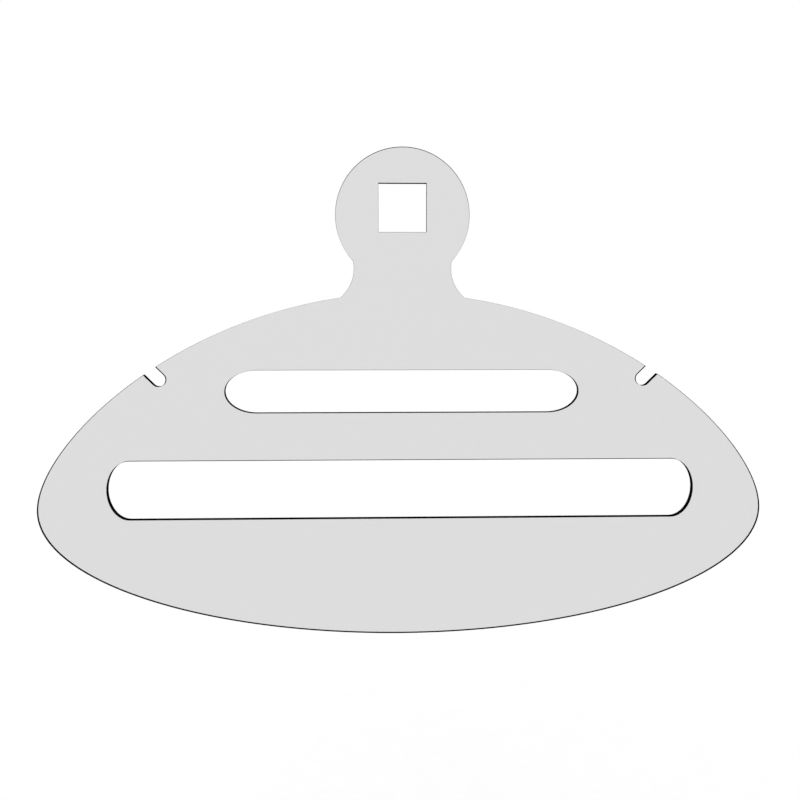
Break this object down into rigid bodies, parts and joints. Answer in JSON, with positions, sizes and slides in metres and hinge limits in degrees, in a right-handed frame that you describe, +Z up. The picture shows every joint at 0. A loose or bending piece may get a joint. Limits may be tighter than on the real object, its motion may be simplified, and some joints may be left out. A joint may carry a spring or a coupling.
{
  "type": "clothes hanger",
  "caption": "Flat clothes hanger cut from black-cored laminate sheet: round head with a square hang hole, curved notched shoulders and slots for trousers and scarves.",
  "frame": {"origin": "hang seat: the middle of the square hole's top wall, halfway through the sheet", "axes": "+X across the hanger, +Y through the sheet from front to back, +Z up"},
  "size_m": [0.4506, 0.004, 0.3008],
  "materials": {
    "face_laminate": "smooth matt pale grey laminate, black on its eased rims and inner side",
    "core_laminate": "satin black compact laminate with cut edges"
  },
  "bodies": {
    "root": {"front_face_sheet": "face_laminate", "core_board": "core_laminate", "back_face_sheet": "face_laminate"}
  },
  "joints": []
}
